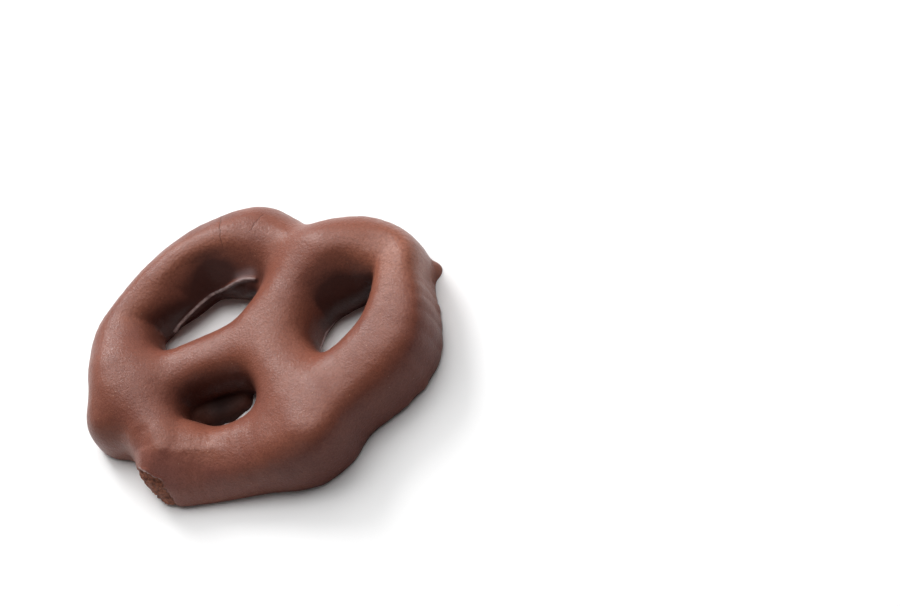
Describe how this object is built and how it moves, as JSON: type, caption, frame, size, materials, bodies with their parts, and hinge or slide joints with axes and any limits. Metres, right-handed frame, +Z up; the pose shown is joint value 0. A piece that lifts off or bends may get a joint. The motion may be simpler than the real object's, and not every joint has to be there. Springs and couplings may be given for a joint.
{
  "type": "chocolate covered pretzel",
  "caption": "Twisted pretzel dipped whole in chocolate, lying flat, with plump strands, a notch between its lobes, open holes and a flat underside.",
  "frame": {"origin": "middle of the bounding box at the flat underside", "axes": "+X to the pretzel's right across both lobes, +Y towards the notch between the lobes, +Z up through the thickness"},
  "size_m": [0.0494, 0.0454, 0.0099],
  "materials": {
    "chocolate": "satin milk chocolate with soft broad highlights, fine grain and a few pinholes"
  },
  "bodies": {
    "root": {"pretzel": "chocolate"}
  },
  "joints": []
}
